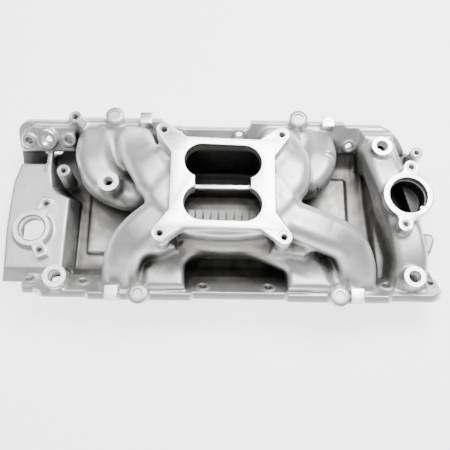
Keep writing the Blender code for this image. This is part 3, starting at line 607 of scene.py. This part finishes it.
def add_coolant(casting):
    add = casting.add
    add("coolant_crossover", crossover_sweep((42, 38), 11).shape(), 8)
    foot = [(197, 104), (199, 20), (204, -28), (207, -58), (204, -100)]
    foot += [(256, -100), (264, -50), (264, 10), (236, 104)]
    brow = [(194, 96), (202, 14), (214, -28), (224, -62), (222, -92)]
    brow += [(254, -96), (258, -62), (258, 10), (232, 96)]
    add("coolant_crossover", loft(foot, brow, 16, 62, 4), 8)
    add("coolant_crossover", slab(LEFT, [(187, 20), (228, 20), (228, 79), (187, 79)], 6, 33, 8), 8)
    add("coolant_crossover", slab(RIGHT, [(219, 20), (257, 20), (257, 72), (219, 72)], 6, 26, 8), 8)
    x, y, _ = centre("thermostat_flange")
    add("thermostat_neck", post(x, y, 27.5, 50, 93, 1, 2), 8)
    for side in (1, -1):
        ear = Vector((x, y, 0)) + THERMOSTAT_AXIS * side * THERMOSTAT_BOLT
        add("thermostat_neck", post(ear.x, ear.y, 7.8, 62, 93, 1, 2), 7)
    corner = [(-272, 45), (-199, 45), (-199, 82), (-252, 82), (-266, 74), (-272, 62)]
    add("coolant_block_rear_left", slab(LEFT, corner, 9, 24, 4), 5)
    add("coolant_port_boss_rear_left", stub(LEFT, *REAR_OUTLET, 12.6, 20, 32, 1), 4)
    for u, v in BOLTS[LEFT][:2]:
        add("coolant_block_rear_left", stub(LEFT, u, v, 9.5, 20, 27, 1), 3)


def corner_nodes(kind):
    """The names and banks of the four nodes of a kind."""
    sides = ((LEFT, "left"), (RIGHT, "right"))
    return [(f"{kind}_{side}_{place}", bank) for bank, side in sides for place in ("front", "rear")]


def add_bosses(casting):
    add = casting.add
    for name in PIPE_BOSSES:
        x, y, top, radius, low = upright(name)
        add(name, post(x, y, radius - 0.6, low, top - 2.5, 1, 2), 6)
    for name in POSTS:
        x, y, top, radius, low = upright(name)
        add(name, post(x, y, radius, low - 12, top, 1, 1), 6)
    for name, bank in corner_nodes("round_boss"):
        x, *_ = upright(name)
        add(name, post(x, bank * BOSS_Y, 12, 58, 77, 1.2), 4)
        y0, y1 = sorted((bank * 108, bank * 126))
        add(name, block((x - 10, y0, 56), (x + 10, y1, 66), 2), 4)
    for name, bank in corner_nodes("square_lug"):
        x, *_ = upright(name)
        y0, y1 = sorted(bank * y for y in LUG_Y)
        add(name, block((x - 7.8, y0, 58), (x + 7.8, y1, 76), 1.2), 4)
    x, y, top, radius, low = upright("distributor_ring")
    add("end_rail_rear", post(x, y, radius - 0.4, 12, top - 4, 1, 2), 5)


def cut_passages(casting):
    """The heads' space, the ground, ducts, wells and bores."""
    cut = casting.cut
    for bank in (LEFT, RIGHT):
        cut(slab(bank, [(-300, -60), (300, -60), (300, 170), (-300, 170)], -90, 0, 0.1), 0.5)
    cut(block((-300, -150, -20), (300, 150, 0), 0.1), 0.5)
    for number in RUNNERS:
        cut(runner_sweep(number, True).shape(), 1)
    cut(prism(mirrored([(50, -48), (84, -14), (58, 17), (55, 17), (55, -3)]), 99, 127, 5), 2)
    for side in (1, -1):
        low = 99 if side < 0 else 57
        cut(prism(stadium(side * BARREL_Y, BARREL_HALF_LENGTH, BARREL_R), low, 150, 1), 1)
        y0, y1 = sorted((side * 2.6, side * 12))
        cut(block((-DIVIDER_HALF, y0, low), (DIVIDER_HALF, y1, 150), 0.5), 0.5)
    cut(block((-DIVIDER_HALF, -8, DIVIDER_TOP - 1), (DIVIDER_HALF, 8, 150), 0.5), 0.5)
    cut(prism(mirrored([(41, 12), (41, -38), (20, -60)]), 58, 89, 6), 2)
    cut(block((-45, 7, 57), (45, 49, 128), 6), 2)
    cut(crossover_sweep((28, 28), 9).shape(), 1)
    for bank in (LEFT, RIGHT):
        for u in COOLANT_PORTS[bank]:
            cut(stub(bank, u, CROSSOVER_V, 13, -5, 16, 0.5, 4), 1)
        for u, v in BOLTS[bank]:
            cut(stub(bank, u, v, BOLT_R, -5, 40, 0.2), 1)
    cut(stub(LEFT, *REAR_OUTLET, 7.5, 0, 60, 0.2), 1)
    x, y, *_ = upright("distributor_ring")
    cut(post(x, y, 16, -5, 80, 0.2), 1)
    x, y, _ = centre("thermostat_flange")
    cut(post(x, y, 22.6, 74, 110, 3), 1)
    for name, (bore, low) in PIPE_BOSSES.items():
        x, y, *_ = upright(name)
        cut(post(x, y, bore, low, 130, 0.2), 1)
    for name in POSTS:
        x, y, top, *_ = upright(name)
        cut(post(x, y, 4.7, top - 14, top + 9, 0.2), 0.5)
    for sx in (1, -1):
        for sy in (1, -1):
            cut(post(sx * PAD_BOLT_X, sy * PAD_BOLT_Y, 5, 116, 150, 0.2), 1)
    # Hollow rails, open underneath.
    cut(prism([(-270, -45), (-202, -45), (-202, 12), (-230, 20), (-236, 40), (-270, 40)], -5, 41, 4), 2)
    cut(prism([(212, -45), (255, -45), (255, 45), (212, 45)], -5, 27, 4), 2)


def make_casting():
    casting = Casting((-286, -137, -2), (283, 137, 139))
    for step in (add_flanges, add_plenum, add_runners, add_valley, add_coolant, add_bosses, cut_passages):
        step(casting)
    return casting


def centre(node):
    low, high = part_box(node)
    return [(a + b) / 2 / MM for a, b in zip(low, high)]


def upright(node):
    """Centre x and y, top height, radius and foot height of an upright round CAD node."""
    low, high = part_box(node)
    x, y = (low.x + high.x) / 2 / MM, (low.y + high.y) / 2 / MM
    return x, y, high.z / MM, (high.x - low.x) / 2 / MM, low.z / MM


def pad_outline():
    outline = []
    for sx, sy in ((1, 1), (-1, 1), (-1, -1), (1, -1)):
        corner = [(PAD_SIDE_X, 36.0), *arc(PAD_BOLT_X, PAD_BOLT_Y, EAR_R, -22, 112, 10), (44.0, PAD_SIDE_Y)]
        corner = [(sx * x, sy * y) for x, y in corner]
        outline += corner if sx * sy > 0 else corner[::-1]
    return outline


# --- Meshes ---


def in_scene(name, data):
    made = bpy.data.objects.new(name, data)
    bpy.context.scene.collection.objects.link(made)
    return made


def mesh_piece(name, points, quads, material):
    mesh = bpy.data.meshes.new(name)
    mesh.vertices.add(len(points))
    mesh.vertices.foreach_set("co", (np.asarray(points, np.float32) * MM).ravel())
    mesh.loops.add(quads.size)
    mesh.loops.foreach_set("vertex_index", quads.ravel().astype(np.int32))
    mesh.polygons.add(len(quads))
    mesh.polygons.foreach_set("loop_start", np.arange(0, quads.size, 4, dtype=np.int32))
    mesh.update(calc_edges=True)
    mesh.validate()
    piece = in_scene(name, mesh)
    mesh.materials.append(material)
    mesh.shade_smooth()
    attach(piece, "root")
    return piece


def store_painted_light_share(piece, values):
    """Stores the share of light at each point, which the cast material paints into its colour as shade."""
    painted_shade = piece.data.attributes.new("painted_light_share", "FLOAT", "POINT")
    painted_shade.data.foreach_set("value", np.broadcast_to(values, len(piece.data.vertices)).astype(np.float32))


def make_skin(materials):
    for name, (points, quads, normals, painted_light_share) in make_casting().surface().items():
        piece = mesh_piece(f"cast_{name}", points, quads, materials["cast"])
        piece.data.normals_split_custom_set_from_vertices(normals.tolist())
        # Painted shade: the share of light goes into the cast colour.
        store_painted_light_share(piece, painted_light_share)
        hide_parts(name)


def plate(name, loops, low, high, bevel, material):
    """A flat plate with holes and softened edges, from closed (x, y) loops."""
    curve = bpy.data.curves.new(name, "CURVE")
    curve.dimensions = "2D"
    curve.fill_mode = "BOTH"
    curve.extrude = ((high - low) / 2 - bevel) * MM
    curve.bevel_depth = bevel * MM
    curve.bevel_resolution = 2
    curve.offset = -bevel * MM
    for loop in loops:
        spline = curve.splines.new("POLY")
        spline.points.add(len(loop) - 1)
        spline.points.foreach_set("co", [c for x, y in loop for c in (x * MM, y * MM, 0, 1)])
        spline.use_cyclic_u = True
    shell = in_scene(name + "_curve", curve)
    bpy.context.view_layer.update()
    mesh = bpy.data.meshes.new_from_object(shell.evaluated_get(bpy.context.evaluated_depsgraph_get()))
    bpy.data.objects.remove(shell)
    mesh.transform(Matrix.Translation((0, 0, (low + high) / 2 * MM)))
    mesh.name = name
    return finish_piece(name, mesh, material)


def finish_piece(name, mesh, material):
    work = bmesh.new()
    work.from_mesh(mesh)
    bmesh.ops.remove_doubles(work, verts=work.verts, dist=1e-6)
    bmesh.ops.recalc_face_normals(work, faces=work.faces)
    work.to_mesh(mesh)
    work.free()
    piece = in_scene(name, mesh)
    mesh.materials.clear()
    mesh.materials.append(material)
    mesh.shade_smooth()
    mesh.set_sharp_from_angle(angle=SHARP)
    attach(piece, "root")
    return piece


def turned(name, profile, centre_point, material, axis=(0, 0, 1), segments=64):
    """A closed profile of (radius, height) points turned about an axis through a point."""
    count = len(profile)
    points, faces = [], []
    for i in range(segments):
        angle = 2 * math.pi * i / segments
        points += [(r * math.cos(angle), r * math.sin(angle), h) for r, h in profile]
    for i in range(segments):
        j = (i + 1) % segments
        for k in range(count):
            m = (k + 1) % count
            faces.append((i * count + k, j * count + k, j * count + m, i * count + m))
    mesh = bpy.data.meshes.new(name)
    mesh.from_pydata(points, [], faces)
    turn = Vector((0, 0, 1)).rotation_difference(Vector(axis)).to_matrix().to_4x4()
    mesh.transform(Matrix.Scale(MM, 4) @ Matrix.Translation(Vector(centre_point)) @ turn)
    return finish_piece(name, mesh, material)


def threaded(bore, top, depth, pitch=1.2, tooth=0.5):
    """The inner side of a tapped hole's profile, from the bottom up."""
    count = int(depth / pitch)
    profile = [(bore - tooth, top - depth)]
    for i in range(count):
        low = top - depth + i * pitch
        profile.append((bore - tooth, low + pitch * 0.1))
        profile.append((bore, low + pitch * 0.5))
        profile.append((bore - tooth, low + pitch * 0.9))
    return profile + [(bore + 0.3, top)]


# --- Materials ---


def new_material(name):
    material = bpy.data.materials.new(name)
    material.use_nodes = True
    tree = material.node_tree
    return material, tree, tree.nodes["Principled BSDF"]


def noise(tree, coordinates, scale, detail, roughness=0.5):
    node = tree.nodes.new("ShaderNodeTexNoise")
    node.inputs["Scale"].default_value = scale
    node.inputs["Detail"].default_value = detail
    node.inputs["Roughness"].default_value = roughness
    tree.links.new(coordinates, node.inputs["Vector"])
    return node.outputs["Fac"]


def ramp(tree, value, stops):
    node = tree.nodes.new("ShaderNodeValToRGB")
    tree.links.new(value, node.inputs["Fac"])
    elements = node.color_ramp.elements
    for i, (place, colour) in enumerate(stops):
        element = elements[i] if i < len(elements) else elements.new(place)
        element.position = place
        element.color = (*colour, 1)
    return node.outputs["Color"]


def bump(tree, height, strength, distance, normal=None):
    node = tree.nodes.new("ShaderNodeBump")
    node.inputs["Strength"].default_value = strength
    node.inputs["Distance"].default_value = distance
    tree.links.new(height, node.inputs["Height"])
    if normal is not None:
        tree.links.new(normal, node.inputs["Normal"])
    return node.outputs["Normal"]


def multiply(tree, a, b):
    node = tree.nodes.new("ShaderNodeMix")
    node.data_type = "RGBA"
    node.blend_type = "MULTIPLY"
    node.inputs["Factor"].default_value = 1.0
    tree.links.new(a, node.inputs[6])
    tree.links.new(b, node.inputs[7])
    return node.outputs[2]


def grey(value):
    return (value, value, value)


def object_coordinates(tree):
    return tree.nodes.new("ShaderNodeTexCoord").outputs["Object"]


def cast_material():
    """Bead-blasted sand casting: mottled grey, fine grain, with painted shade in the hollows."""
    material, tree, shader = new_material("cast_aluminium")
    place = object_coordinates(tree)
    mottle = ramp(tree, noise(tree, place, 28, 4), [(0.3, (0.60, 0.60, 0.585)), (0.7, (0.70, 0.70, 0.69))])
    # Painted shade: the stored share of light darkens the base colour, to near black where little light
    # reaches.
    reached = tree.nodes.new("ShaderNodeAttribute")
    reached.attribute_name = "painted_light_share"
    stops = [(0.0, grey(0.04)), (0.22, (0.11, 0.105, 0.10)), (0.45, (0.36, 0.35, 0.34)), (0.70, grey(1))]
    painted_shade = ramp(tree, reached.outputs["Fac"], stops)
    tree.links.new(multiply(tree, mottle, painted_shade), shader.inputs["Base Color"])
    rough = ramp(tree, noise(tree, place, 60, 3), [(0.3, grey(0.40)), (0.7, grey(0.52))])
    tree.links.new(rough, shader.inputs["Roughness"])
    grain = bump(tree, noise(tree, place, 1400, 2), 0.25, 0.0003)
    tree.links.new(bump(tree, noise(tree, place, 170, 3), 0.25, 0.0006, grain), shader.inputs["Normal"])
    shader.inputs["Metallic"].default_value = 0.9
    return material


def machined_material():
    """Milled faces: bright, with fine parallel cutter marks."""
    material, tree, shader = new_material("machined_aluminium")
    place = object_coordinates(tree)
    stretch = tree.nodes.new("ShaderNodeMapping")
    stretch.inputs["Scale"].default_value = (1.0, 60.0, 1.0)
    tree.links.new(place, stretch.inputs["Vector"])
    marks = noise(tree, stretch.outputs["Vector"], 22, 3)
    colour = ramp(tree, marks, [(0.3, (0.80, 0.80, 0.79)), (0.7, grey(0.88))])
    tree.links.new(colour, shader.inputs["Base Color"])
    rough = ramp(tree, marks, [(0.3, grey(0.26)), (0.7, grey(0.36))])
    tree.links.new(rough, shader.inputs["Roughness"])
    tree.links.new(bump(tree, marks, 0.12, 0.0002), shader.inputs["Normal"])
    shader.inputs["Metallic"].default_value = 1.0
    return material


def steel_material():
    material, tree, shader = new_material("steel_insert")
    place = object_coordinates(tree)
    tint = ramp(tree, noise(tree, place, 300, 3), [(0.3, (0.50, 0.50, 0.51)), (0.7, (0.62, 0.62, 0.63))])
    tree.links.new(tint, shader.inputs["Base Color"])
    tree.links.new(bump(tree, noise(tree, place, 900, 2), 0.1, 0.0002), shader.inputs["Normal"])
    shader.inputs["Metallic"].default_value = 1.0
    shader.inputs["Roughness"].default_value = 0.3
    return material


# --- Machined pieces ---


def circle(x, y, radius, steps=32):
    return arc(x, y, radius, 0, 360, steps)[:-1]


def barrel_loop():
    """Two long round-ended openings that run into each other over the lowered divider."""
    reach = BARREL_HALF_LENGTH - BARREL_R
    corner = math.degrees(math.acos((DIVIDER_HALF - reach) / BARREL_R))
    far = arc(reach, BARREL_Y, BARREL_R, -corner, 90, 20)
    far += arc(-reach, BARREL_Y, BARREL_R, 90, 180 + corner, 20)
    return far + [(-x, -y) for x, y in far]


def make_pad(material):
    loops = [pad_outline(), barrel_loop()]
    for sx in (1, -1):
        for sy in (1, -1):
            x, y = sx * PAD_BOLT_X, sy * PAD_BOLT_Y
            loops.append(circle(x, y, 6.9))
            top = PAD_TOP - x * math.tan(PAD_TILT) - 0.9
            profile = [(5, top - 8), (5, top), (6.8, top), (6.8, top - 8)]
            turned(f"stud_face_{sx}_{sy}", profile, (x, y, 0), material)
    piece = plate("carburettor_pad_face", loops, PAD_UNDERSIDE, PAD_TOP, 0.7, material)
    for vertex in piece.data.vertices:
        if vertex.co.z > (PAD_UNDERSIDE + PAD_TOP) / 2 * MM:
            vertex.co.z -= vertex.co.x * math.tan(PAD_TILT)
    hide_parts("carburettor_pad")
    bar = [(-DIVIDER_HALF, -3), (DIVIDER_HALF, -3), (DIVIDER_HALF, 3), (-DIVIDER_HALF, 3)]
    divider = plate("divider_face", [bar], DIVIDER_TOP - 6, DIVIDER_TOP, 1.4, material)


def two_eared(x, y, radius, ear_r, spacing, turn, fillet):
    """A round flange with two bolt ears and hollow necks between."""
    span, near = radius + fillet, ear_r + fillet
    lean = math.degrees(math.acos((spacing**2 + span**2 - near**2) / (2 * spacing * span)))
    outline = []
    for base in (turn, turn + 180):
        ear = polar(x, y, spacing, base)
        joints = [polar(x, y, span, base - lean), polar(x, y, span, base + lean)]
        turns = [math.degrees(math.atan2(ear[1] - b, ear[0] - a)) for a, b in joints]
        outline += arc(x, y, radius, base - 90, base - lean, 10)
        begin = base - lean + 180
        outline += arc(*joints[0], fillet, begin, begin + short_way(turns[0] - begin), 8)
        reach = short_way(turns[1] + 180 - base)
        outline += arc(*ear, ear_r, base - reach, base + reach, 14)
        back = short_way(base + lean + 180 - turns[1])
        outline += arc(*joints[1], fillet, turns[1], turns[1] + back, 8)
        outline += arc(x, y, radius, base + lean, base + 90, 10)[:-1]
    return outline


def polar(x, y, radius, degrees):
    return x + radius * math.cos(math.radians(degrees)), y + radius * math.sin(math.radians(degrees))


def short_way(degrees):
    return (degrees + 180) % 360 - 180


def make_thermostat(material):
    x, y, _ = centre("thermostat_flange")
    low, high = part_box("thermostat_flange")
    turn = math.degrees(math.atan2(THERMOSTAT_AXIS.y, THERMOSTAT_AXIS.x))
    bore = arc(x, y, 23.5, -42, 306, 60) + [polar(x, y, 20.5, -54), polar(x, y, 20.5, -42)]
    loops = [two_eared(x, y, 31.5, 9.5, THERMOSTAT_BOLT, turn, 9.0), bore]
    loops += [circle(*polar(x, y, THERMOSTAT_BOLT, turn + side), 5) for side in (0, 180)]
    piece = plate("thermostat_flange_face", loops, low.z / MM, high.z / MM, 0.8, material)
    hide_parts("thermostat_flange")


def make_flange_bosses(material, cast):
    """Round bosses with a raised rim and square lugs with milled tops."""
    profile = [(0.05, 74), (0.05, 78.2), (5.6, 78.2), (6.4, 80), (9.6, 80), (12, 78.4), (12.1, 74)]
    for name, bank in corner_nodes("round_boss"):
        x, *_ = upright(name)
        piece = turned(f"{name}_face", profile, (x, bank * BOSS_Y, 0), cast, segments=48)
        # The boss faces get the full share of light: no painted shade.
        store_painted_light_share(piece, 1)
    for name, bank in corner_nodes("square_lug"):
        x, *_ = upright(name)
        y0, y1 = sorted(bank * y for y in LUG_Y)
        loop = [(x - 8, y0), (x + 8, y0), (x + 8, y1), (x - 8, y1)]
        piece = plate(f"{name}_face", [loop], 73, 78, 0.6, material)


def make_fins(cast):
    """Cast bars across the upper plenum's floor, with painted shade that is lighter to the left."""
    points, quads = [], []
    count, pitch = 9, 9.4
    for i in range(count):
        x = (i - (count - 1) / 2) * pitch
        for z in (98, 105.5):
            points += [(x - 3.5, -50, z), (x + 3.5, -50, z), (x + 3.5, -22, z), (x - 3.5, -22, z)]
        faces = [(3, 2, 1, 0), (4, 5, 6, 7), (0, 1, 5, 4), (1, 2, 6, 5), (2, 3, 7, 6), (3, 0, 4, 7)]
        quads += [[8 * i + k for k in face] for face in faces]
    piece = mesh_piece("plenum_floor_bars", points, np.array(quads), cast)
    piece.data.set_sharp_from_angle(angle=SHARP)
    # Painted shade: the bars get a low share of light, more of it to the left.
    store_painted_light_share(piece, 0.36 - 0.002 * np.array(points)[:, 0])


def make_rings(material, steel):
    x, y, top, radius, low = upright("distributor_ring")
    edge = 0.8
    profile = [(16, low), (16, top - 2.2), (18.2, top)]
    profile += [(radius - edge, top), (radius, top - edge), (radius, low)]
    piece = turned("distributor_ring_face", profile, (x, y, 0), material, segments=96)
    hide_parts("distributor_ring")
    for name, (bore, _) in PIPE_BOSSES.items():
        x, y, top, radius, _ = upright(name)
        profile = threaded(bore, top, 14) + [(radius - 0.9, top), (radius - 0.3, top - 0.6)]
        profile += [(radius - 0.3, top - 6), (bore + 2, top - 8), (bore + 2, top - 14)]
        piece = turned(f"{name}_face", profile, (x, y, 0), material)
    axis = (0, -SLOPE, SLOPE)
    spot = on_flange(LEFT, *REAR_OUTLET, 0)
    profile = threaded(7.5, 35, 14) + [(12.4, 35), (13, 34.4), (13, 29), (9.5, 28), (9.5, 21)]
    piece = turned("coolant_port_boss_rear_left_face", profile, spot, material, axis)


def make_inserts(steel):
    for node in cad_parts:
        if "insert" in node:
            x, y, top, _, low = upright(node)
            profile = threaded(3.6, top, 9.6, 1.0, 0.4)
            profile += [(4.5, top), (4.8, top - 0.3), (4.8, low), (3.6, low)]
            piece = turned(f"{node}_bush", profile, (x, y, 0), steel, segments=40)
            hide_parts(node)


def make_tabs(material):
    ring_x, ring_y, *_ = upright("distributor_ring")
    for place in ("front", "rear"):
        x, y, *_ = upright(f"clamp_insert_{place}")
        low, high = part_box(f"clamp_tab_{place}")
        out = (Vector((x, y)) - Vector((ring_x, ring_y))).normalized()
        across = Vector((-out.y, out.x))
        corners = []
        for a, b, start in ((9, -8, -90), (9, 8, 0)):
            spot = Vector((x, y)) + out * (a - 3) + across * (b - math.copysign(3, b))
            turn = math.degrees(math.atan2(out.y, out.x))
            corners += arc(spot.x, spot.y, 3, turn + start, turn + start + 90, 6)
        for a, b in ((-16, 8), (-16, -8)):
            corners.append(tuple(Vector((x, y)) + out * a + across * b))
        loops = [corners, circle(x, y, 5)]
        piece = plate(f"clamp_tab_{place}_face", loops, low.z / MM, high.z / MM, 0.6, material)
        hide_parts(f"clamp_tab_{place}")


# --- Camera, light and floor ---


def make_stage():
    elevation, yaw, roll = math.radians(71.1), math.radians(2.37), math.radians(-3.15)
    shift = Vector((-3.6, 27.8, 794.2))  # across, up and away, from the camera to the aim
    aim = Vector((0, 0, 72))
    right, up = Vector((1, 0, 0)), Vector((0, math.sin(elevation), math.cos(elevation)))
    forward = Vector((0, math.cos(elevation), -math.sin(elevation)))
    across = right * math.cos(roll) - up * math.sin(roll)
    above = right * math.sin(roll) + up * math.cos(roll)
    place = -(across * shift.x + above * shift.y + forward * shift.z)
    turn = Matrix.Rotation(-yaw, 3, "Z")
    axes = Matrix((turn @ across, turn @ above, turn @ -forward)).transposed()
    data = bpy.data.cameras.new("camera")
    data.lens = 49.43
    data.sensor_width = 36
    camera = in_scene("camera", data)
    camera.matrix_world = Matrix.Translation((turn @ place + aim) * MM) @ axes.to_4x4()
    bpy.context.scene.camera = camera

    mesh = bpy.data.meshes.new("floor")
    reach = 6.0
    corners = [(-reach, -reach, 0), (reach, -reach, 0), (reach, reach, 0), (-reach, reach, 0)]
    mesh.from_pydata(corners, [], [(0, 1, 2, 3)])
    floor = in_scene("floor", mesh)
    material, _, shader = new_material("floor_paper")
    shader.inputs["Base Color"].default_value = (0.95, 0.945, 0.95, 1)
    shader.inputs["Roughness"].default_value = 0.9
    shader.inputs["Emission Color"].default_value = (1, 1, 1, 1)
    shader.inputs["Emission Strength"].default_value = 2.5
    mesh.materials.append(material)

    def area(name, place, size, power, target=(0, 0, 0.06)):
        light = bpy.data.lights.new(name, "AREA")
        light.energy = power
        light.size = size
        holder = in_scene(name, light)
        holder.location = place
        holder.rotation_euler = (Vector(target) - Vector(place)).to_track_quat("-Z", "Y").to_euler()

    area("key", (0.42, 0.50, 1.25), 0.75, 30)
    area("top", (-0.35, 0.25, 1.5), 0.9, 10)
    world = bpy.data.worlds.new("studio")
    bpy.context.scene.world = world
    world.use_nodes = True
    background = world.node_tree.nodes["Background"]
    background.inputs["Color"].default_value = (0.97, 0.98, 1.0, 1)
    background.inputs["Strength"].default_value = 0.5


def main():
    make_stage()
    materials = {"cast": cast_material(), "machined": machined_material(), "steel": steel_material()}
    make_skin(materials)
    make_pad(materials["machined"])
    make_thermostat(materials["machined"])
    make_rings(materials["machined"], materials["steel"])
    make_tabs(materials["machined"])
    make_flange_bosses(materials["machined"], materials["cast"])
    make_fins(materials["cast"])
    make_inserts(materials["steel"])


main()
